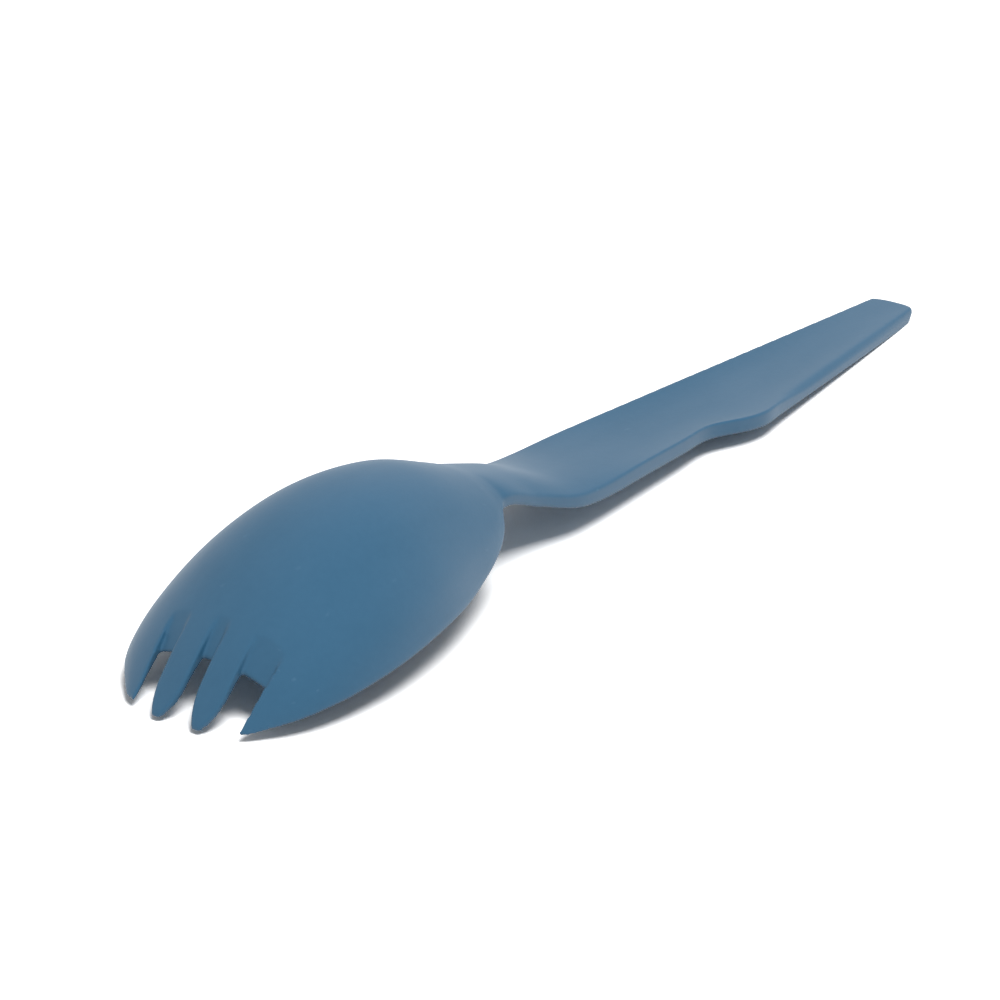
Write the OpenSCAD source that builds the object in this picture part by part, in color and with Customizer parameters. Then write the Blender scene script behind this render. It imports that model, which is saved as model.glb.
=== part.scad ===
// Spork lying face down on a table: one injection moulded piece.
// The back of the deep bowl points up, and the tine tips and the end of the handle touch the table.
// X runs from the tines to the end of the handle, Y across it, Z up. The table is Z = 0.
// The tined, doubly curved thin bowl and the handle are one closed skin, lofted by formulas.
// Three slots are then cut straight down, the way the mould opens, each with a sloping root.

/* [Length] */
// Tine tips to the end of the handle
overall_length = 172; // [156:1:186]
// Tine tips to the neck
bowl_length = 61; // [56:0.5:66]
// Neck to the handle's shoulders
neck_length = 17; // [14:0.5:20]

/* [Bowl] */
// Widest place of the bowl
bowl_width = 37; // [33:0.2:41]
// Highest place of the bowl's back above the table
dome_height = 21.8; // [18:0.2:24]
// Height of the bowl's rim above the table, halfway along it
rim_height = 7; // [5.6:0.2:8.4]
// Height of the handle's edges where they meet the bowl
neck_height = 12; // [11:0.2:13]
// Thickness of the bowl's wall
bowl_wall = 2; // [1.6:0.1:2.4]
// Thickness of the neck where it leaves the bowl
neck_wall = 1.4; // [1.2:0.1:1.8]
// How far the outer tine tips stand behind the inner ones
front_bow = 2.3; // [1:0.1:3.5]

/* [Tines] */
// Thickness at the tips of the tines
tip_wall = 0.7; // [0.6:0.1:1.2]
// Height of the back at the tine tips
tip_height = 0.8; // [0.6:0.05:1]
// Tips to the place where the slots go right through
slot_length = 7.3; // [6.6:0.1:8]
// Length of the sloping root of a slot
root_length = 3.6; // [3:0.1:5]
// Half width of the middle slot
middle_slot_half = 1.4; // [1:0.1:1.8]
// Middle of the spork to the inner wall of a side slot
side_slot_inner = 5.1; // [4.6:0.1:5.8]
// Middle of the spork to the outer wall of a side slot, at its root
side_slot_outer = 9.9; // [9.4:0.1:10.6]
// How far that wall leans inwards towards the tips
side_slot_lean = 0.7; // [0.3:0.1:1]
// Middle of the spork to the tip of an inner tine
inner_tip_offset = 3.3; // [3:0.1:3.8]
// Width left at the tip of an inner tine
tip_width = 0.6; // [0.4:0.1:1.2]
// Length over which an inner tine narrows to its tip
taper_length = 4.4; // [3:0.1:5]

/* [Handle] */
// Thickness of the handle
handle_wall = 2.4; // [2.1:0.1:2.8]
// Thickness of the handle at its end
end_wall = 2.2; // [2.1:0.1:2.4]
// Height of the handle's edges at the shoulders
shoulder_height = 6.9; // [6.3:0.1:7.8]
// How far the crown of the back stands above those edges
shoulder_crown = 1.5; // [1:0.1:2]
// Height of the handle's back at its end
end_height = 1.9; // [1.6:0.1:2]
// Half width of the neck
neck_half = 7.5; // [6.8:0.1:8]
// Half width at the shoulders
shoulder_half = 8.5; // [7.7:0.1:9]
// Middle to the stepped side just before the step
notch_half = 6.9; // [6.4:0.1:7.4]
// Middle to the stepped side on the step
step_half = 9.9; // [8.8:0.1:10.8]
// Middle to the stepped side near the end
tail_half = 3.3; // [2.8:0.1:4]
// Middle to the straight side at the end
end_half = 4.4; // [3.8:0.1:5.2]
// How far the end of the handle bows outwards
end_bow = 1.3; // [0.8:0.1:1.7]
// How deep the back of the handle is dished
dish_depth = 0.45; // [0.2:0.05:0.6]
// How far the rounded edges bulge past the skin
edge_bulge = 0.6; // [0.4:0.05:0.8]

/* [Hidden] */

// places along the bowl, as shares of its length
station_shares = [0, 0.13, 0.325, 0.541, 0.757, 0.931, 1];
// half width, height of the back and height of the rim there, as shares of the named sizes
width_shares = [0.43, 0.80, 0.99, 0.97, 0.793, 0.585];
spine_shares = [0.43, 0.812, 0.993, 0.954, 0.768, 0.683];
rim_shares = [0.15, 0.53, 0.80, 0.98, 1.06, 1.45];
// halfway along the neck: how far the middle and the edges have come down to the shoulders
waist_spine_share = 0.38;
waist_edge_share = 0.475;
// how much of the dish is left at the end
end_dish_share = 0.2;
// places along the handle, as shares of the way from the shoulders to the end
round_share = 0.03;
ebb_share = 0.28;
notch_share = 0.355;
rise_share = 0.425;
step_share = 0.46;
fall_share = 0.51;
tail_share = 0.945;
// how much of the shoulders' width is left a neck's length after them
calm_width_share = 0.95;
// how much of the way down to the notch is done before it
ebb_width_share = 0.75;
// how much of the step's width is reached where it starts to round over
rise_width_share = 0.83;
// how much of the way down to the tail is done where the step has rounded over
fall_width_share = 0.11;
// how much of the tail's half width is left at the very end
tail_width_share = 0.74;
// how square the end is: 2 would be a parabola
bow_power = 3;

// cross sections are arches: power 2 with root 1 would be a parabola, root 0.5 an ellipse
bowl_power = 2.2;
bowl_root = 0.72;
handle_power = 2.6;
handle_root = 1;

// how much of the edges' bulge is left at the tips
tip_bulge_share = 0.5;

// how finely the skin is divided
columns = 24;
edge_steps = 4;
taper_steps = 8;
probe_share = 0.004;
probe_turn = 3;
// end rounding stops just before the edge would become a line
end_share = 0.94;
// a slanting wall is this much thicker when measured straight down
slant_share = 1.5;

// where the named places lie along X
shoulder_x = bowl_length + neck_length;
handle_run = overall_length - shoulder_x;
round_x = shoulder_x + round_share * handle_run;
ebb_x = shoulder_x + ebb_share * handle_run;
notch_x = shoulder_x + notch_share * handle_run;
rise_x = shoulder_x + rise_share * handle_run;
step_x = shoulder_x + step_share * handle_run;
fall_x = shoulder_x + fall_share * handle_run;
tail_x = shoulder_x + tail_share * handle_run;
waist_x = bowl_length + neck_length / 2;
last_x = overall_length - end_bow;
end_x = last_x - edge_bulge;
calm_x = shoulder_x + neck_length;
bowl_x = [for (share = station_shares) share * bowl_length];
front_x = bowl_x[2];
probe = probe_share * bowl_length;

// a smooth curve through named points: the slope at each is the mean of its two neighbours
function piece(x, xs, i = 0) = i >= len(xs) - 2 || x < xs[i + 1] ? i : piece(x, xs, i + 1);
function secant(xs, ys, i) = (ys[i + 1] - ys[i]) / (xs[i + 1] - xs[i]);
function slope(xs, ys, i) =
    i <= 0 ? secant(xs, ys, 0)
    : i >= len(xs) - 1 ? secant(xs, ys, len(xs) - 2)
    : (secant(xs, ys, i - 1) + secant(xs, ys, i)) / 2;
function curve(x, xs, ys) =
    let (i = piece(x, xs), run = xs[i + 1] - xs[i], t = min(1, max(0, (x - xs[i]) / run)))
    ys[i] * (2 * t ^ 3 - 3 * t ^ 2 + 1) + slope(xs, ys, i) * run * (t ^ 3 - 2 * t ^ 2 + t)
    + ys[i + 1] * (3 * t ^ 2 - 2 * t ^ 3) + slope(xs, ys, i + 1) * run * (t ^ 3 - t ^ 2);
function ease(x, from, to) = let (t = min(1, max(0, (x - from) / (to - from)))) t * t * (3 - 2 * t);
function mix(a, b, share) = a + (b - a) * share;
function unit(v) = v / norm(v);

// side view: the handle's back falls straight from its shoulders to its end
function handle_edge(x) = mix(shoulder_height, end_height, (x - shoulder_x) / handle_run);
side_x = concat(bowl_x, [waist_x, shoulder_x, calm_x, overall_length]);
handle_z = [for (x = [shoulder_x, calm_x, overall_length]) handle_edge(x)];
neck_spine = spine_shares[5] * dome_height;
spine_z = concat([tip_height], [for (share = spine_shares) share * dome_height],
    [mix(neck_spine, shoulder_height, waist_spine_share), shoulder_height + shoulder_crown,
    handle_z[1] - dish_depth, end_height - end_dish_share * dish_depth]);
edge_z = concat([for (share = rim_shares) share * rim_height],
    [neck_height, mix(neck_height, shoulder_height, waist_edge_share)], handle_z);
function spine(x) = curve(x, side_x, spine_z);
function edge(x) = curve(x, side_x, edge_z);

// plan view: half widths of the straight side and of the stepped side
bowl_halves = [for (share = width_shares) share * bowl_width / 2];
straight_y = concat(bowl_halves, [neck_half, neck_half, shoulder_half, calm_width_share * shoulder_half, end_half]);
step_side_x = concat(bowl_x, [waist_x, shoulder_x, round_x, ebb_x, notch_x, rise_x, step_x, fall_x,
    tail_x, overall_length]);
step_side_y = concat(bowl_halves, [neck_half, neck_half, shoulder_half, shoulder_half,
    mix(shoulder_half, notch_half, ebb_width_share), notch_half, mix(notch_half, step_half, rise_width_share), step_half,
    mix(step_half, tail_half, fall_width_share), tail_half, tail_width_share * tail_half]);
function half(x, side) =
    side < 0 ? curve(x, step_side_x, step_side_y) : curve(x, side_x, straight_y);

// how far a place is from the bowl's form towards the handle's, 0 to 1
function along(x) = ease(x, bowl_x[5], shoulder_x);
// how far the edges have turned upright, 0 to 1
function upright(x) = ease(x, bowl_x[5], bowl_length);
function wall(x) =
    let (bowl = mix(tip_wall, bowl_wall, ease(x, 0, bowl_x[1])),
        neck = mix(bowl, neck_wall, ease(x, bowl_x[4], bowl_length)),
        handle = mix(neck, handle_wall, ease(x, bowl_length, calm_x)))
    mix(handle, end_wall, ease(x, fall_x, overall_length));
function arch(x, share) =
    (1 - share ^ mix(bowl_power, handle_power, along(x))) ^ mix(bowl_root, handle_root, along(x));
function back_z(x, y) = mix(edge(x), spine(x), arch(x, min(1, abs(y) / half(x, y))));

// the edges of the thin tines bulge less
function bulge(x) = edge_bulge * mix(tip_bulge_share, 1, ease(x, 0, front_x));

// the last edge of the handle is rounded over: the skin closes towards the middle of the wall
function closing(x) = sqrt(1 - (end_share * min(1, max(0, (x - end_x) / edge_bulge))) ^ 2);

// a point of the back: turn goes from -90 at the stepped side to 90 at the straight side
function back(x, turn) =
    let (share = abs(sin(turn)), px = x + front_bow * share ^ 3 * max(0, 1 - x / front_x)
            + end_bow * (1 - share ^ bow_power) * ease(x, tail_x, last_x),
        reach = half(px, turn) - edge_bulge * along(px))
    [px, reach * sin(turn), mix(edge(px), spine(px), arch(px, share)) - wall(px) * (1 - closing(x)) / 2];
function outward(x, turn) =
    let (before = back(x, max(-90, turn - probe_turn)), after = back(x, min(90, turn + probe_turn)))
    unit(cross(back(x + probe, turn) - back(x - probe, turn), after - before));

// the other face: square to the back in the bowl, flat under the handle, never below the table
function face(x, turn) =
    let (p = back(x, turn), thick = wall(p.x) * closing(x), offset = p - thick * outward(x, turn),
        flat_z = edge(p.x) - wall(p.x) * (1 + closing(x)) / 2, q = mix(offset, [p.x, p.y, flat_z], upright(p.x)))
    [q.x, q.y, max(0, q.z)];

// one closed ring of the skin: back, rounded edge, face, rounded edge
function rounded(x, side) =
    let (p = back(x, side * 90), q = face(x, side * 90),
        out = unit(p - back(x, side * (90 - probe_turn))) * bulge(p.x) * closing(x))
    [for (k = [1:edge_steps - 1])
        let (a = (side > 0 ? k : edge_steps - k) * 180 / edge_steps)
        (p + q) / 2 + (p - q) / 2 * cos(a) + out * sin(a)];
function above_table(p) = [p.x, p.y, max(0, p.z)];
function ring(x) = concat(
    [for (j = [0:columns]) back(x, 180 * j / columns - 90)],
    [for (p = rounded(x, 1)) above_table(p)],
    [for (j = [columns:-1:0]) face(x, 180 * j / columns - 90)],
    [for (p = rounded(x, -1)) above_table(p)]);

function rows(from, to, count) = [for (i = [0:count - 1]) mix(from, to, i / count)];
skin_x = concat(rows(0, front_x, 16), rows(front_x, bowl_length, 26), rows(bowl_length, round_x, 12),
    rows(round_x, notch_x, 8), rows(notch_x, fall_x, 12), rows(fall_x, tail_x, 6),
    rows(tail_x, end_x, 4), rows(end_x, last_x, 3), [last_x]);

module skin() {
    lap = 2 * (columns + edge_steps);
    last = (len(skin_x) - 1) * lap;
    // ring places: back 0 to columns, then an edge, then the face from far_face to near_face
    far_face = columns + edge_steps;
    near_face = far_face + columns;
    sides = [for (i = [0:len(skin_x) - 2], a = [0:lap - 1])
        let (b = (a + 1) % lap, p = i * lap, q = p + lap)
        each [[p + a, p + b, q + b], [p + a, q + b, q + a]]];
    strips = [for (j = [0:columns - 1])
        let (k = near_face - j)
        each [[j + 1, j, k], [j + 1, k, k - 1]]];
    far_fan = [for (k = [columns + 1:far_face - 1]) [columns, k + 1, k]];
    near_fan = [for (k = [near_face + 1:lap - 1]) [0, (k + 1) % lap, k]];
    near_cap = [for (k = [near_face:lap - 2]) [0, k + 1, k]];
    front = concat(strips, far_fan, near_cap);
    back_end = [for (t = front) [last + t[0], last + t[2], last + t[1]]];
    polyhedron([for (x = skin_x) each ring(x)], concat(sides, front, back_end), convexity = 8);
}

// plan of a slot: walls that flare to the tips of the inner tines
overrun = edge_bulge * 3;
function flare(wall_y, tip_y, back_to_front) =
    [for (i = [0:taper_steps])
        let (share = i / taper_steps, x = taper_length * (1 - share))
        [x, mix(wall_y, tip_y, share ^ 2)]];
tip_inner = inner_tip_offset - tip_width / 2;
tip_outer = inner_tip_offset + tip_width / 2;
slot_end = slot_length + root_length + overrun;

module middle_plan() {
    wing = concat([[slot_end, middle_slot_half]], flare(middle_slot_half, tip_inner), [[-overrun, inner_tip_offset]]);
    polygon(concat(wing, [for (i = [len(wing) - 1:-1:0]) [wing[i].x, -wing[i].y]]));
}

module side_plan() {
    inner = concat([[slot_end, side_slot_inner]], flare(side_slot_inner, tip_outer), [[-overrun, inner_tip_offset]]);
    lean = side_slot_lean / slot_length;
    polygon(concat(inner, [[-overrun, side_slot_outer - side_slot_lean - lean * overrun],
        [slot_end, side_slot_outer + lean * (slot_end - slot_length)]]));
}

// the root of a slot slopes from the back to the face and follows the bowl sideways
module root_limit(y) {
    through = slot_length;
    start = slot_length + root_length;
    start_z = back_z(start, y);
    drop = start_z - back_z(through, y) + slant_share * bowl_wall;
    lean = atan((back_z(start, y + probe) - back_z(start, y - probe)) / (2 * probe));
    translate([0, y, start_z])
        rotate([lean, 0, 0])
            rotate([90, 0, 0])
                linear_extrude(bowl_width / 2, center = true)
                    polygon([[-2 * overrun, -2 * dome_height], [through, -2 * dome_height], [through, -drop],
                        [start + root_length, drop], [-2 * overrun, drop]]);
}

module slots() {
    side_y = (side_slot_inner + side_slot_outer) / 2;
    intersection() {
        translate([0, 0, -overrun])
            linear_extrude(dome_height)
                middle_plan();
        root_limit(0);
    }
    for (side = [-1, 1])
        intersection() {
            translate([0, 0, -overrun])
                linear_extrude(dome_height)
                    scale([1, side, 1])
                        side_plan();
            root_limit(side * side_y);
        }
}

module spork() {
    color([0.27, 0.41, 0.55])
        translate([-overall_length / 2, 0, 0])
            difference() {
                skin();
                slots();
            }
}

spork();
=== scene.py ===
import math

import bmesh
import bpy
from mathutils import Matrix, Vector


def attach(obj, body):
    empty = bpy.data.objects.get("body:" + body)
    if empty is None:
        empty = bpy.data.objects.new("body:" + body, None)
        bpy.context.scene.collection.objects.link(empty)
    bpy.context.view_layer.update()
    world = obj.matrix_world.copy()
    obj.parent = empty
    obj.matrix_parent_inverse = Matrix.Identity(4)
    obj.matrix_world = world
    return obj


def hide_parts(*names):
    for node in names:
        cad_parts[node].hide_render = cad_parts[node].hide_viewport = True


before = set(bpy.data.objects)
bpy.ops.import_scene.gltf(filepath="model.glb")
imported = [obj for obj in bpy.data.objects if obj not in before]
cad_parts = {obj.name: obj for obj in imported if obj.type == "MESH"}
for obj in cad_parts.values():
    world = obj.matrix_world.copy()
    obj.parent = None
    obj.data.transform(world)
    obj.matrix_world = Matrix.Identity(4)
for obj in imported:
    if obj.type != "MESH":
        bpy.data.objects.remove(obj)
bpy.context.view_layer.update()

MM = 0.001

# The spork's sizes in millimetres, measured from the tips of the tines along X
LENGTH = 172.0
TIP_WALL = 0.7
BOWL_WALL = 2.0
NECK_WALL = 1.6
HANDLE_WALL = 2.4
END_WALL = 2.2
TABLE_CLEARANCE = 0.1

# Along the bowl, neck and handle: place, half width, height of the back's middle, height of its edges
STATIONS = [
    (0.0, 8.25, 1.0, 0.5),
    (7.92, 15.2, 9.5, 2.6),
    (19.8, 18.5, 17.75, 4.5),
    (33.0, 18.2, 21.7, 5.8),
    (46.2, 15.1, 20.85, 6.6),
    (56.8, 11.1, 16.74, 9.6),
    (61.0, 7.6, 14.89, 12.2),
    (69.5, 7.5, 11.85, 9.58),
    (78.0, 8.5, 8.4, 6.9),
    (95.0, 8.08, 5.55, 6.0),
    (172.0, 4.4, 1.81, 1.9),
]
# Along the stepped side of the neck and handle: place, half width
STEPPED_SIDE = [
    (61.0, 7.5), (69.5, 7.5), (78.0, 8.5), (80.8, 8.5), (104.3, 7.3), (111.4, 6.9),
    (118.0, 9.39), (121.2, 9.9), (125.9, 9.17), (166.8, 3.3), (172.0, 2.44),
]
WALL_FULL_X = 13.0
REAR_X = STATIONS[4][0]
BOWL_END_X = STATIONS[5][0]
NECK_X = STATIONS[6][0]
CALM_X = STATIONS[9][0]
STEP_END_X = STEPPED_SIDE[8][0]
TAIL_X = STEPPED_SIDE[9][0]
# The handle's end bows outwards
END_BOW, BOW_POWER = 1.3, 3
# Behind the step the back's edge on that side rounds over further: how far, how suddenly across the
# handle, over which stretch it sets in, and how many corners of a ring it takes
EDGE_SAG, SAG_POWER, SAG_RUN, SAG_CORNERS = 1.0, 16, (122.0, 136.0), 6
# Planes that slice the lower side of the tips and the lower near corner of the end off: a point, a direction
TIP_SLICE, TIP_SLICE_TOWARDS = (0.15, 0.0, 0.5), (-0.75, 0.0, -0.65)
END_CORNER, END_CORNER_TOWARDS = (169.2, -2.9, 0.1), (1.0, -1.0, -1.0)

# Rings of the loft: from, to, how many
RING_RUNS = [
    (0.0, 19.8, 14), (19.8, 53.8, 17), (53.8, 62.8, 10), (62.8, 80.8, 12),
    (80.8, 108.0, 9), (108.0, 128.0, 16), (128.0, 166.8, 11), (166.8, 170.7, 4),
]
LAST_RING_X = 170.7
# Half of a ring's corners, as shares of the half width
SHARES = [0.13, 0.26, 0.38, 0.5, 0.61, 0.71, 0.79, 0.86, 0.925, 1.0]
# A cross section is an arch, full at the sides in the bowl and flatter in the handle: its power, its root
BOWL_ARCH, HANDLE_ARCH = (2.2, 0.72), (2.6, 1.0)
ARCH_CHANGE = (54.0, 72.0)
# The back's slope along its middle is taken this far to either side
SLOPE_REACH = 0.5
# An arch is never quite flat, because a ring that is scaled flat can't be scaled back
LEAST_RISE = 0.01
# The wall between back and face is divided this often along each edge
WALL_CUTS = 2

# Corners of a ring: the back from the stepped side to the straight side, then the face the other way
ROW = [-share for share in reversed(SHARES)] + [0.0] + SHARES
ACROSS = len(ROW)
RING = 2 * ACROSS
BACK_CROWN, FACE_CROWN = ACROSS // 2, ACROSS + ACROSS // 2
# The four parts of a ring: surface, side (0 is the stepped one), corners
QUARTERS = [
    ("back", 0, range(0, BACK_CROWN)), ("back", 1, range(BACK_CROWN, ACROSS)),
    ("face", 1, range(ACROSS, FACE_CROWN)), ("face", 0, range(FACE_CROWN, RING)),
]

# The gaps between the tines end at SLOT_END, and their roots slope up from there to the back at RAMP_START.
# A root ends in a lip, higher by ROOT_LIP than ROOT_WALLS times the wall's thickness under the back.
SLOT_END = 7.2
RAMP_START = 10.9
ROOT_LIP, ROOT_WALLS = 0.7, 1.5
# The roots roll with the back, whose slope across is taken this far to either side
ROLL_REACH = 0.1
# The blocks that cut the slots reach this far
CUT_FRONT, CUT_END = -3.0, 16.0
CUT_LOW, CUT_HIGH = -2.0, 30.0
# Walls of the middle slot and of each side slot, by side: -1 is the handle's stepped side
MIDDLE_WALLS = {-1: 0.9, 1: 1.2}
SIDE_INNER, SIDE_OUTER, SIDE_LEAN = {-1: 5.3, 1: 5.6}, {-1: 9.6, 1: 8.4}, {-1: 0.8, 1: 0.5}
TINE_TIP, TINE_TIP_WIDTH = {-1: 3.0, 1: 3.6}, 1.0
# The straight cuts are this much narrower than the sloping ones, so that no two walls share a plane
STRAIGHT_INSET = 0.04
TAPER_LENGTH, TAPER_STEPS, TAPER_POWER = 4.8, 10, 2.6
# What is cut off each outer tine beside its tip, in plan
OUTER_TIP_CUT = [(CUT_FRONT, 7.0), (CUT_FRONT, 16.0), (4.4, 16.0), (1.3, 8.0), (1.0, 7.0)]

# The cut moulding is made anew as small even faces, which rounds its edges off, and is then thinned out
VOXEL = 0.17
SMOOTHING, SMOOTHINGS, LAST_SMOOTHINGS = 0.5, 18, 2
MOST_TRIANGLES = 196000
# From here to there, behind the slots, the faces go back to the exact skin
SKIN_FADE, FADE_STEPS = (11.5, 14.5), 6


def smooth_curve(x, table, column):
    """A smooth curve through a table's rows, whose slope at each is the mean of its neighbours'."""
    places, values = [row[0] for row in table], [row[column] for row in table]
    last = len(places) - 1
    i = max(k for k in range(last) if k == 0 or x >= places[k])
    rises = [(values[k + 1] - values[k]) / (places[k + 1] - places[k]) for k in range(last)]
    slopes = [rises[0]] + [(a + b) / 2 for a, b in zip(rises, rises[1:])] + [rises[-1]]
    run = places[i + 1] - places[i]
    t = min(1.0, max(0.0, (x - places[i]) / run))
    return (values[i] * (2 * t**3 - 3 * t**2 + 1) + slopes[i] * run * (t**3 - 2 * t**2 + t)
            + values[i + 1] * (3 * t**2 - 2 * t**3) + slopes[i + 1] * run * (t**3 - t**2))


def mix(a, b, share):
    return a + (b - a) * share


def ease(x, start, end):
    t = min(1.0, max(0.0, (x - start) / (end - start)))
    return t * t * (3 - 2 * t)


def straight_half(x):
    return smooth_curve(x, STATIONS, 1)


def stepped_half(x):
    return straight_half(x) if x < NECK_X else smooth_curve(x, STEPPED_SIDE, 1)


def back_middle(x):
    return smooth_curve(x, STATIONS, 2)


def back_edge(x):
    return smooth_curve(x, STATIONS, 3)


def flatness(x):
    """How far a cross section is from the bowl's arch towards the handle's, 0 to 1."""
    return ease(x, *ARCH_CHANGE)


def from_tips(x, y, z):
    """Turns a place measured from the tips into one in the shared frame, whose X starts at the middle."""
    return (x - LENGTH / 2, y, z)


def upright(x):
    """How far the wall has turned from square to the bowl's back to straight down, 0 to 1."""
    return ease(x, BOWL_END_X, NECK_X)


def wall(x):
    bowl = mix(TIP_WALL, BOWL_WALL, ease(x, 0.0, WALL_FULL_X))
    neck = mix(bowl, NECK_WALL, ease(x, REAR_X, NECK_X))
    handle = mix(neck, HANDLE_WALL, ease(x, NECK_X, CALM_X))
    return mix(handle, END_WALL, ease(x, STEP_END_X, LENGTH))


def arch(x, share):
    power, root = (mix(a, b, flatness(x)) for a, b in zip(BOWL_ARCH, HANDLE_ARCH))
    return max(0.0, 1 - abs(share)**power) ** root


def back_height(x, y):
    return mix(back_edge(x), back_middle(x), arch(x, min(1.0, abs(y) / straight_half(x))))


def off_zero(rise):
    return math.copysign(max(abs(rise), LEAST_RISE), rise)


def ring_sizes(x):
    """Half widths and heights of the back and of the face, and the level that each arch springs from."""
    turned = upright(x)
    thick = wall(x)
    fall = (back_middle(x + SLOPE_REACH) - back_middle(x - SLOPE_REACH)) / (2 * SLOPE_REACH)
    rise = back_middle(x) - back_edge(x)
    inset = thick * (1 - turned)
    return {
        "edge": back_edge(x),
        "back": (stepped_half(x), straight_half(x), off_zero(rise)),
        "face_level": back_edge(x) - thick * turned,
        "face": (stepped_half(x) - inset, straight_half(x) - inset,
                 off_zero((rise - thick * math.sqrt(1 + fall**2)) * (1 - turned))),
    }


def activate(piece):
    bpy.ops.object.select_all(action="DESELECT")
    piece.select_set(True)
    bpy.context.view_layer.objects.active = piece


def choose(piece, corners):
    """Selects just these corners, given by number, of the piece in edit mode."""
    shell = bmesh.from_edit_mesh(piece.data)
    shell.verts.ensure_lookup_table()
    bpy.ops.mesh.select_all(action="DESELECT")
    for k in corners:
        shell.verts[k].select_set(True)
    shell.select_flush_mode()
    bmesh.update_edit_mesh(piece.data)
    return shell


def carry(piece, corner, target):
    """Moves one corner to a place in millimetres."""
    shell = choose(piece, [corner])
    bpy.ops.transform.translate(value=Vector(target) * MM - shell.verts[corner].co)


def shape_first_ring(blank, x):
    sizes = ring_sizes(x)
    for part, level, shift, row in (("back", "edge", 0, ROW), ("face", "face_level", ACROSS, ROW[::-1])):
        near, far, rise = sizes[part]
        for k, share in enumerate(row):
            y = share * (near if share < 0 else far)
            carry(blank, shift + k, from_tips(x, y, sizes[level] + rise * arch(x, share)))


def extrude_ring(blank, start, here, x):
    """Extrudes the ring that was made last, and resizes the new one to the spork's width and height."""
    old, new = ring_sizes(here), ring_sizes(x)
    choose(blank, range(start - RING, start))
    bpy.ops.mesh.extrude_region_move(TRANSFORM_OT_translate={
        "value": ((x - here) * MM, 0.0, (new["edge"] - old["edge"]) * MM)})
    lowered = (new["face_level"] - new["edge"]) - (old["face_level"] - old["edge"])
    choose(blank, range(start + ACROSS, start + RING))
    bpy.ops.transform.translate(value=(0.0, 0.0, lowered * MM))
    for part, side, corners in QUARTERS:
        level = new["edge"] if part == "back" else new["face_level"]
        choose(blank, [start + k for k in corners])
        bpy.ops.transform.resize(
            value=(1.0, new[part][side] / old[part][side], new[part][2] / old[part][2]),
            center_override=((x - LENGTH / 2) * MM, 0.0, level * MM))


def change_arch(blank, start, here, x):
    """Turns the new ring's arch from the bowl's form towards the handle's."""
    new = ring_sizes(x)
    for k, share in enumerate(SHARES[:-1], 1):
        growth = arch(x, share) / arch(here, share)
        for crown, level in ((BACK_CROWN, "edge"), (FACE_CROWN, "face_level")):
            choose(blank, [start + crown - k, start + crown + k])
            bpy.ops.transform.resize(
                value=(1.0, 1.0, growth), center_override=(0.0, 0.0, new[level] * MM))


def bow_end(blank, start, here, x):
    """Bows the new ring outwards at the handle's end, and lets it fall with the handle as it does."""
    bow = END_BOW * (ease(x, TAIL_X, LAST_RING_X) - ease(here, TAIL_X, LAST_RING_X))
    for k, share in enumerate([0.0] + SHARES[:-1]):
        out = bow * (1 - share**BOW_POWER)
        down = back_edge(x) - back_edge(x + out)
        choose(blank, [start + crown + step for crown in (BACK_CROWN, FACE_CROWN) for step in (-k, k)])
        bpy.ops.transform.translate(value=(out * MM, 0.0, -down * MM))


def round_edge_over(blank, places):
    """Lowers the back's edge on the stepped side behind the step."""
    for ring, x in enumerate(places):
        sag = EDGE_SAG * ease(x, *SAG_RUN)
        if sag > 0:
            for k, share in enumerate(SHARES[-SAG_CORNERS:], len(SHARES) - SAG_CORNERS + 1):
                choose(blank, [ring * RING + BACK_CROWN - k])
                bpy.ops.transform.translate(value=(0.0, 0.0, -sag * share**SAG_POWER * MM))


def close_ends(blank, last):
    """Closes both ends with a strip of four-sided faces between the back and the face."""
    for first in (0, last):
        for k in range(ACROSS - 1):
            other = first + RING - 1 - k
            choose(blank, [first + k, first + k + 1, other - 1, other])
            bpy.ops.mesh.edge_face_add()
    bpy.ops.mesh.select_all(action="SELECT")
    bpy.ops.mesh.normals_make_consistent(inside=False)


def divide_walls(blank):
    """Divides the walls between back and face, which keeps the rounding of their edges small."""
    bpy.ops.mesh.select_mode(type="EDGE")
    bpy.ops.mesh.select_all(action="DESELECT")
    shell = bmesh.from_edit_mesh(blank.data)
    shell.verts.index_update()
    walls = ({0, RING - 1}, {ACROSS - 1, ACROSS})
    for edge in shell.edges:
        a, b = (corner.index for corner in edge.verts)
        if a // RING == b // RING and {a % RING, b % RING} in walls:
            edge.select_set(True)
    bmesh.update_edit_mesh(blank.data)
    bpy.ops.mesh.subdivide(number_cuts=WALL_CUTS)


def make_blank():
    """The moulding without its slots: one closed ring is extruded from the tips to the handle's end."""
    bpy.ops.object.select_all(action="DESELECT")
    bpy.ops.mesh.primitive_circle_add(vertices=RING, radius=MM, fill_type="NOTHING")
    blank = bpy.context.object
    blank.name = "spork_moulding"
    bpy.ops.object.mode_set(mode="EDIT")
    bpy.ops.mesh.select_mode(type="VERT")
    places = [mix(a, b, k / n) for a, b, n in RING_RUNS for k in range(n)] + [LAST_RING_X]
    shape_first_ring(blank, places[0])
    for ring, (here, x) in enumerate(zip(places, places[1:]), 1):
        start = ring * RING
        extrude_ring(blank, start, here, x)
        if 0 < flatness(x) and flatness(here) < 1:
            change_arch(blank, start, here, x)
        if x > TAIL_X:
            bow_end(blank, start, here, x)
    round_edge_over(blank, places)
    close_ends(blank, start)
    divide_walls(blank)
    bpy.ops.object.mode_set(mode="OBJECT")
    return blank


def apply_modifier(piece, kind, **settings):
    activate(piece)
    bpy.ops.object.modifier_add(type=kind)
    modifier = piece.modifiers[-1]
    for name, value in settings.items():
        setattr(modifier, name, value)
    bpy.ops.object.modifier_apply(modifier=modifier.name)


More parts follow.
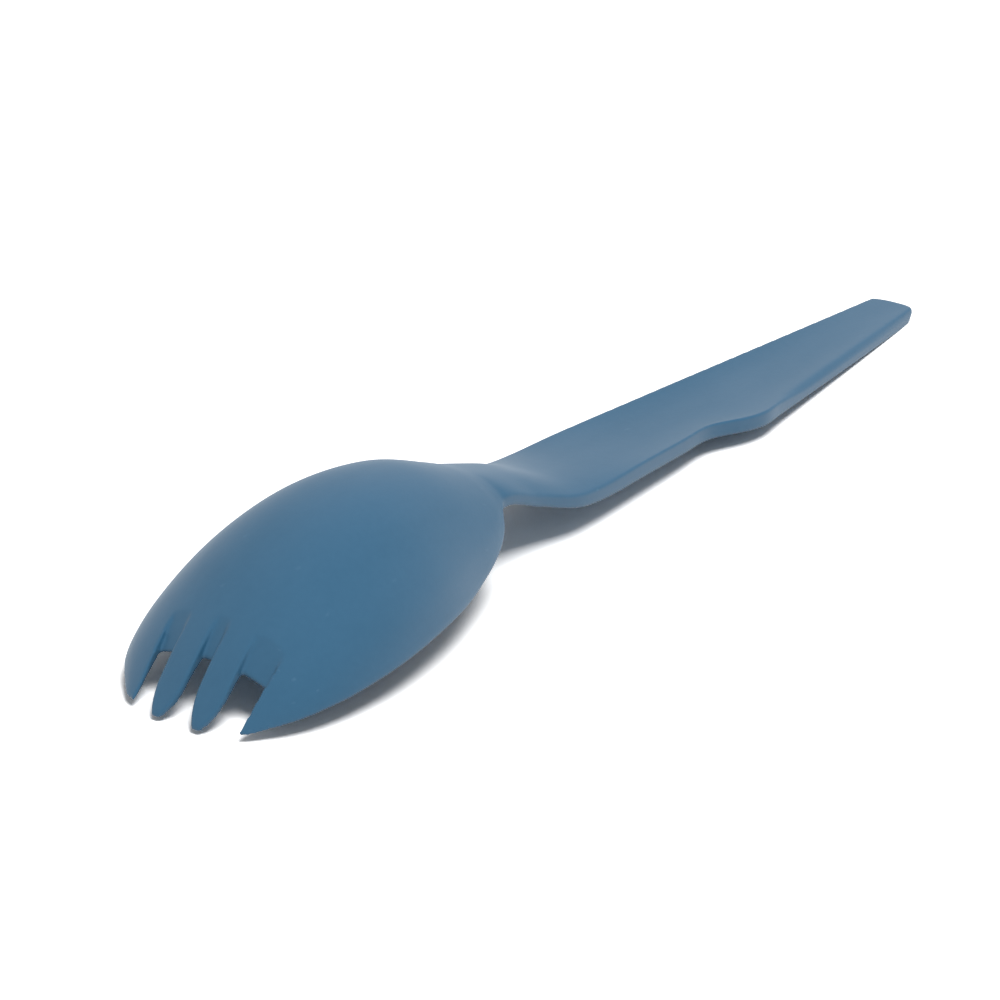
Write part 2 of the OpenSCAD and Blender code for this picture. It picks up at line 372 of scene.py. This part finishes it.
def slice_off(piece, place, towards):
    """Cuts the piece with a plane, in millimetres, and drops what lies towards that side."""
    activate(piece)
    bpy.ops.object.mode_set(mode="EDIT")
    bpy.ops.mesh.select_all(action="SELECT")
    bpy.ops.mesh.bisect(plane_co=Vector(place) * MM, plane_no=towards, use_fill=True, clear_outer=True)
    bpy.ops.object.mode_set(mode="OBJECT")


def upright_block(name, plan):
    """A block with this outline in plan, in millimetres from the tips, higher and lower than the spork."""
    bpy.ops.object.select_all(action="DESELECT")
    bpy.ops.mesh.primitive_circle_add(vertices=len(plan), radius=MM, fill_type="NGON")
    block = bpy.context.object
    block.name = name
    bpy.ops.object.mode_set(mode="EDIT")
    bpy.ops.mesh.select_mode(type="VERT")
    for k, (x, y) in enumerate(plan):
        carry(block, k, from_tips(x, y, CUT_LOW))
    bpy.ops.mesh.select_all(action="SELECT")
    bpy.ops.mesh.extrude_region_move(
        TRANSFORM_OT_translate={"value": (0.0, 0.0, (CUT_HIGH - CUT_LOW) * MM)})
    bpy.ops.mesh.select_all(action="SELECT")
    bpy.ops.mesh.normals_make_consistent(inside=False)
    bpy.ops.object.mode_set(mode="OBJECT")
    return block


def ramp_cut(block, y):
    """Slopes the root of a slot from the back almost down to the face, rolled with the bowl's surface."""
    top = back_height(RAMP_START, y)
    bottom = back_height(SLOT_END, y) - ROOT_WALLS * wall(SLOT_END) + ROOT_LIP
    beyond, before = (back_height(RAMP_START, y + reach) for reach in (ROLL_REACH, -ROLL_REACH))
    roll = (beyond - before) / (2 * ROLL_REACH)
    down = Vector((RAMP_START - SLOT_END, 0.0, top - bottom))
    across = Vector((0.0, 1.0, roll))
    slice_off(block, from_tips(RAMP_START, y, top), across.cross(down).normalized())


def tine_wall(side, wall_y, tip_y, end):
    """One wall of an inner tine in plan, from the slot's root to past the tine's tip."""
    taper = [TAPER_LENGTH * (1 - k / TAPER_STEPS) for k in range(TAPER_STEPS + 1)]
    points = [(end, wall_y)]
    points += [(x, mix(wall_y, tip_y, (1 - x / TAPER_LENGTH) ** TAPER_POWER)) for x in taper]
    points.append((CUT_FRONT, TINE_TIP[side]))
    return [(x, side * y) for x, y in points]


def middle_slot_plan(end, inset):
    half_tip = TINE_TIP_WIDTH / 2 + inset
    far, near = (
        tine_wall(side, MIDDLE_WALLS[side] - inset, TINE_TIP[side] - half_tip, end) for side in (1, -1))
    return far + near[::-1]


def side_slot_plan(side, end, inset):
    lean = SIDE_LEAN[side] / SLOT_END
    tip_y = SIDE_OUTER[side] - SIDE_LEAN[side] - inset
    outer = [(x, side * (tip_y + lean * x)) for x in (CUT_FRONT, end)]
    half_tip = TINE_TIP_WIDTH / 2 + inset
    return tine_wall(side, SIDE_INNER[side] + inset, TINE_TIP[side] + half_tip, end) + outer


def make_slots():
    """Each slot is cut twice: with a sloping root, and straight through from the tips to its end."""
    blocks = []
    for end, inset in ((CUT_END, 0.0), (SLOT_END, STRAIGHT_INSET)):
        slots = [("middle_slot_cut", middle_slot_plan(end, inset), 0.0)]
        for side in (-1, 1):
            centre = side * (SIDE_INNER[side] + SIDE_OUTER[side]) / 2
            slots.append(("side_slot_cut", side_slot_plan(side, end, inset), centre))
        for name, plan, centre in slots:
            blocks.append(upright_block(name, plan))
            if end == CUT_END:
                ramp_cut(blocks[-1], centre)
    for side in (-1, 1):
        blocks.append(upright_block("outer_tip_cut", [(x, side * y) for x, y in OUTER_TIP_CUT]))
    return blocks


def duplicate(piece):
    activate(piece)
    bpy.ops.object.duplicate()
    return bpy.context.object


def return_to_skin(piece, skin):
    """Lays the piece's faces on the moulding's own skin again, all but the tines with their rounded slots."""
    group = piece.vertex_groups.new(name="plain_skin")
    front, back = (x - LENGTH / 2 for x in SKIN_FADE)
    for k in range(FADE_STEPS):
        low, high = (mix(front, back, (k + step) / FADE_STEPS) for step in (0, 1))
        if k == FADE_STEPS - 1:
            high = LENGTH
        corners = [v.index for v in piece.data.vertices if low <= v.co.x / MM < high]
        group.add(corners, (k + 1) / FADE_STEPS, "REPLACE")
    apply_modifier(piece, "SHRINKWRAP", target=skin, vertex_group=group.name)
    apply_modifier(piece, "SMOOTH", factor=SMOOTHING, iterations=LAST_SMOOTHINGS)


def make_spork():
    spork = make_blank()
    apply_modifier(spork, "SUBSURF", levels=2, render_levels=2)
    slice_off(spork, from_tips(*TIP_SLICE), TIP_SLICE_TOWARDS)
    slice_off(spork, (0.0, 0.0, TABLE_CLEARANCE), (0.0, 0.0, -1.0))
    slice_off(spork, from_tips(*END_CORNER), END_CORNER_TOWARDS)
    skin = duplicate(spork)
    for block in make_slots():
        apply_modifier(spork, "BOOLEAN", operation="DIFFERENCE", solver="EXACT", object=block)
        bpy.data.objects.remove(block)
    apply_modifier(spork, "REMESH", mode="VOXEL", voxel_size=VOXEL * MM, adaptivity=0.0)
    apply_modifier(spork, "SMOOTH", factor=SMOOTHING, iterations=SMOOTHINGS)
    return_to_skin(spork, skin)
    bpy.data.objects.remove(skin)
    apply_modifier(spork, "DECIMATE", ratio=MOST_TRIANGLES / (2 * len(spork.data.polygons)))
    spork.vertex_groups.clear()
    activate(spork)
    bpy.ops.object.shade_smooth()
    return spork


spork = make_spork()
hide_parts("spork")
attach(spork, "root")


# The plastic: its colours, how much of the last two shows at most, its gloss, and its grain's strength and
# depth in millimetres. The fine pits are this many times finer than the coarse ones, and this much as deep.
DEEP_BLUE = (0.020, 0.093, 0.174, 1)
PALE_BLUE = (0.026, 0.106, 0.196, 1)
FLECK_BLUE = (0.040, 0.140, 0.240, 1)
WORN_BLUE = (0.110, 0.220, 0.330, 1)
MOST_FLECKS, MOST_WEAR = 0.12, 0.3
PLASTIC_IOR = 1.55
SHEEN, SHEEN_ROUGHNESS = 0.04, 0.5
ROUGHEST, SMOOTHEST = 0.52, 0.44
GRAIN_STRENGTH, GRAIN_DEPTH = 0.35, 0.02
FINE_PITS_RATIO, FINE_PITS_DEPTH = 2.7, 0.5

# The floor and the world: their level in the object's light, and as the camera and reflections see them
FLOOR_IN_LIGHT = (0.62, 0.62, 0.62, 1)
FLOOR_SEEN = (1.35, 1.35, 1.35, 1)
FLOOR_SIZE = 6.0
WORLD_LEVEL, WORLD_SEEN = 0.31, 1.0

# The lamp: place, what it points at, size in metres and power in watts
KEY_PLACE, KEY_AIM, KEY_SIZE, KEY_POWER = (-0.3, -0.9, 2.4), (0.0, 0.0, 0.0), 1.1, 64.0

# The camera, fitted to the photo
CAMERA_PLACE = Vector((-0.61730, -0.44382, 0.34799))
CAMERA_AIM = Vector((0.73206, 0.53995, -0.41537))
CAMERA_LENS, CAMERA_SENSOR = 215.93, 36.0
CAMERA_CLIP = (0.05, 20.0)


def add_node(tree, kind, place, **inputs):
    node = tree.nodes.new(kind)
    node.location = place
    for name, value in inputs.items():
        node.inputs[name.replace("_", " ")].default_value = value
    return node


def add_math(tree, operation, place, second=None):
    node = add_node(tree, "ShaderNodeMath", place)
    node.operation = operation
    if second is not None:
        node.inputs[1].default_value = second
    return node


def link(tree, start, start_socket, end, end_socket):
    tree.links.new(start.outputs[start_socket], end.inputs[end_socket])


def new_group(name, inputs, outputs):
    """An empty node group with these sockets: (name, socket type, value)."""
    tree = bpy.data.node_groups.new(name, "ShaderNodeTree")
    for direction, sockets in (("INPUT", inputs), ("OUTPUT", outputs)):
        for socket_name, kind, value in sockets:
            socket = tree.interface.new_socket(name=socket_name, in_out=direction, socket_type=kind)
            if value is not None:
                socket.default_value = value
    return tree, tree.nodes.new("NodeGroupInput"), tree.nodes.new("NodeGroupOutput")


def cloudiness_group():
    """Slow, uneven clouds over the surface, 0 to 1, as in plastic that flowed through a mould."""
    tree, start, end = new_group(
        "flow_clouds",
        [("Vector", "NodeSocketVector", None), ("Scale", "NodeSocketFloat", 60.0),
         ("Stretch", "NodeSocketFloat", 0.4)],
        [("Mask", "NodeSocketFloat", None)])
    stretch = add_node(tree, "ShaderNodeCombineXYZ", (-600, -200), Y=1.0, Z=1.0)
    scaled = add_node(tree, "ShaderNodeVectorMath", (-400, 0))
    scaled.operation = "MULTIPLY"
    noise = add_node(tree, "ShaderNodeTexNoise", (-200, 0), Detail=4.0, Roughness=0.55)
    ramp = add_node(tree, "ShaderNodeMapRange", (0, 0), From_Min=0.3, From_Max=0.7)
    link(tree, start, "Stretch", stretch, "X")
    link(tree, start, "Vector", scaled, 0)
    link(tree, stretch, "Vector", scaled, 1)
    link(tree, scaled, "Vector", noise, "Vector")
    link(tree, start, "Scale", noise, "Scale")
    link(tree, noise, "Fac", ramp, "Value")
    link(tree, ramp, "Result", end, "Mask")
    return tree


def grain_group():
    """The fine, even grain of a spark-eroded mould: soft pits a few tenths of a millimetre across."""
    tree, start, end = new_group(
        "moulded_grain",
        [("Vector", "NodeSocketVector", None), ("Pits per metre", "NodeSocketFloat", 2600.0)],
        [("Height", "NodeSocketFloat", None)])
    coarse = add_node(tree, "ShaderNodeTexNoise", (-400, 100), Detail=2.0, Roughness=0.5)
    fine_scale = add_math(tree, "MULTIPLY", (-600, -150), FINE_PITS_RATIO)
    fine = add_node(tree, "ShaderNodeTexVoronoi", (-400, -150))
    fine.feature = "SMOOTH_F1"
    both = add_math(tree, "MULTIPLY_ADD", (-100, 0), FINE_PITS_DEPTH)
    link(tree, start, "Pits per metre", coarse, "Scale")
    link(tree, start, "Pits per metre", fine_scale, 0)
    link(tree, fine_scale, "Value", fine, "Scale")
    link(tree, start, "Vector", coarse, "Vector")
    link(tree, start, "Vector", fine, "Vector")
    link(tree, fine, "Distance", both, 0)
    link(tree, coarse, "Fac", both, 2)
    link(tree, both, "Value", end, "Height")
    return tree


def edge_wear_group():
    """Where the edges are rubbed pale, 0 to 1: sharp outer edges, broken up by a noise."""
    tree, start, end = new_group(
        "edge_wear",
        [("Vector", "NodeSocketVector", None), ("Patches per metre", "NodeSocketFloat", 500.0)],
        [("Mask", "NodeSocketFloat", None)])
    geometry = add_node(tree, "ShaderNodeNewGeometry", (-600, 100))
    sharp = add_node(tree, "ShaderNodeMapRange", (-400, 100), From_Min=0.57, From_Max=0.70)
    patches = add_node(tree, "ShaderNodeTexNoise", (-600, -150), Detail=3.0)
    broken = add_node(tree, "ShaderNodeMapRange", (-400, -150), From_Min=0.35, From_Max=0.65, To_Min=0.25)
    product = add_math(tree, "MULTIPLY", (-150, 0))
    link(tree, geometry, "Pointiness", sharp, "Value")
    link(tree, start, "Vector", patches, "Vector")
    link(tree, start, "Patches per metre", patches, "Scale")
    link(tree, patches, "Fac", broken, "Value")
    link(tree, sharp, "Result", product, 0)
    link(tree, broken, "Result", product, 1)
    link(tree, product, "Value", end, "Mask")
    return tree


def place_group(tree, group, place, **inputs):
    node = tree.nodes.new("ShaderNodeGroup")
    node.node_tree = group
    node.location = place
    for name, value in inputs.items():
        node.inputs[name.replace("_", " ")].default_value = value
    return node


def mix_colours(tree, place, first, second, share):
    node = tree.nodes.new("ShaderNodeMix")
    node.data_type = "RGBA"
    node.location = place
    tree.links.new(share, node.inputs["Factor"])
    for socket, colour in (("A", first), ("B", second)):
        target = [i for i in node.inputs if i.name == socket and i.type == "RGBA"][0]
        if isinstance(colour, tuple):
            target.default_value = colour
        else:
            tree.links.new(colour, target)
    return [o for o in node.outputs if o.type == "RGBA"][0]


def blue_plastic():
    material = bpy.data.materials.new("blue_plastic")
    material.use_nodes = True
    tree = material.node_tree
    shader = tree.nodes["Principled BSDF"]
    shader.inputs["IOR"].default_value = PLASTIC_IOR
    shader.inputs["Sheen Weight"].default_value = SHEEN
    shader.inputs["Sheen Roughness"].default_value = SHEEN_ROUGHNESS
    place = add_node(tree, "ShaderNodeTexCoord", (-1300, 0))
    clouds = place_group(tree, cloudiness_group(), (-1000, 300), Scale=55.0, Stretch=0.35)
    speckle = place_group(tree, clouds.node_tree, (-1000, 100), Scale=900.0, Stretch=1.0)
    wear = place_group(tree, edge_wear_group(), (-1000, -100), Patches_per_metre=450.0)
    grain = place_group(tree, grain_group(), (-1000, -300), Pits_per_metre=2400.0)
    for node in (clouds, speckle, wear, grain):
        link(tree, place, "Object", node, "Vector")

    body = mix_colours(tree, (-700, 300), DEEP_BLUE, PALE_BLUE, clouds.outputs["Mask"])
    fleck_share = add_math(tree, "MULTIPLY", (-700, 100), MOST_FLECKS)
    link(tree, speckle, "Mask", fleck_share, 0)
    flecked = mix_colours(tree, (-500, 250), body, FLECK_BLUE, fleck_share.outputs["Value"])
    wear_share = add_math(tree, "MULTIPLY", (-500, -50), MOST_WEAR)
    link(tree, wear, "Mask", wear_share, 0)
    worn = mix_colours(tree, (-300, 200), flecked, WORN_BLUE, wear_share.outputs["Value"])
    tree.links.new(worn, shader.inputs["Base Color"])

    gloss = add_node(tree, "ShaderNodeMapRange", (-500, -250), To_Min=ROUGHEST, To_Max=SMOOTHEST)
    link(tree, clouds, "Mask", gloss, "Value")
    link(tree, gloss, "Result", shader, "Roughness")
    bump = add_node(tree, "ShaderNodeBump", (-300, -350), Strength=GRAIN_STRENGTH, Distance=GRAIN_DEPTH * MM)
    link(tree, grain, "Height", bump, "Height")
    link(tree, bump, "Normal", shader, "Normal")
    return material


spork.data.materials.clear()
spork.data.materials.append(blue_plastic())


def seen_directly(tree, place):
    """1 for rays from the camera, and for those that a glossy or clear surface sends on."""
    path = add_node(tree, "ShaderNodeLightPath", place)
    total = path.outputs["Is Camera Ray"]
    for k, ray in enumerate(("Is Glossy Ray", "Is Transmission Ray")):
        most = add_math(tree, "MAXIMUM", (place[0] + 200 + 200 * k, place[1]))
        tree.links.new(total, most.inputs[0])
        link(tree, path, ray, most, 1)
        total = most.outputs["Value"]
    return total


def white_floor():
    """White paper: seen directly it is bright enough to turn pure white, so only its shadows show."""
    material = bpy.data.materials.new("white_floor")
    material.use_nodes = True
    tree = material.node_tree
    shader = tree.nodes["Principled BSDF"]
    shader.inputs["Roughness"].default_value = 1.0
    shader.inputs["Specular IOR Level"].default_value = 0.0
    colour = mix_colours(tree, (-300, 200), FLOOR_IN_LIGHT, FLOOR_SEEN, seen_directly(tree, (-900, 0)))
    tree.links.new(colour, shader.inputs["Base Color"])
    return material


bpy.ops.object.select_all(action="DESELECT")
bpy.ops.mesh.primitive_plane_add(size=FLOOR_SIZE, location=(0.0, 0.0, 0.0))
floor = bpy.context.object
floor.name = "floor"
floor.data.materials.append(white_floor())

world = bpy.data.worlds.new("studio")
bpy.context.scene.world = world
world.use_nodes = True
background = world.node_tree.nodes["Background"]
background.inputs["Color"].default_value = (1, 1, 1, 1)
level = add_node(world.node_tree, "ShaderNodeMapRange", (-300, 0), To_Min=WORLD_LEVEL, To_Max=WORLD_SEEN)
world.node_tree.links.new(seen_directly(world.node_tree, (-900, 0)), level.inputs["Value"])
link(world.node_tree, level, "Result", background, "Strength")


def soft_light(name, place, aim, size, power):
    bpy.ops.object.light_add(type="AREA", location=place)
    lamp = bpy.context.object
    lamp.name = name
    lamp.data.shape = "SQUARE"
    lamp.data.size = size
    lamp.data.energy = power
    lamp.visible_glossy = False
    lamp.rotation_euler = (Vector(aim) - Vector(place)).to_track_quat("-Z", "Y").to_euler()


soft_light("key_light", KEY_PLACE, KEY_AIM, KEY_SIZE, KEY_POWER)

bpy.ops.object.camera_add(location=CAMERA_PLACE)
camera = bpy.context.object
camera.name = "camera"
camera.rotation_euler = CAMERA_AIM.to_track_quat("-Z", "Y").to_euler()
camera.data.lens = CAMERA_LENS
camera.data.sensor_width = CAMERA_SENSOR
camera.data.clip_start, camera.data.clip_end = CAMERA_CLIP
bpy.context.scene.camera = camera
bpy.context.scene.view_settings.view_transform = "Standard"
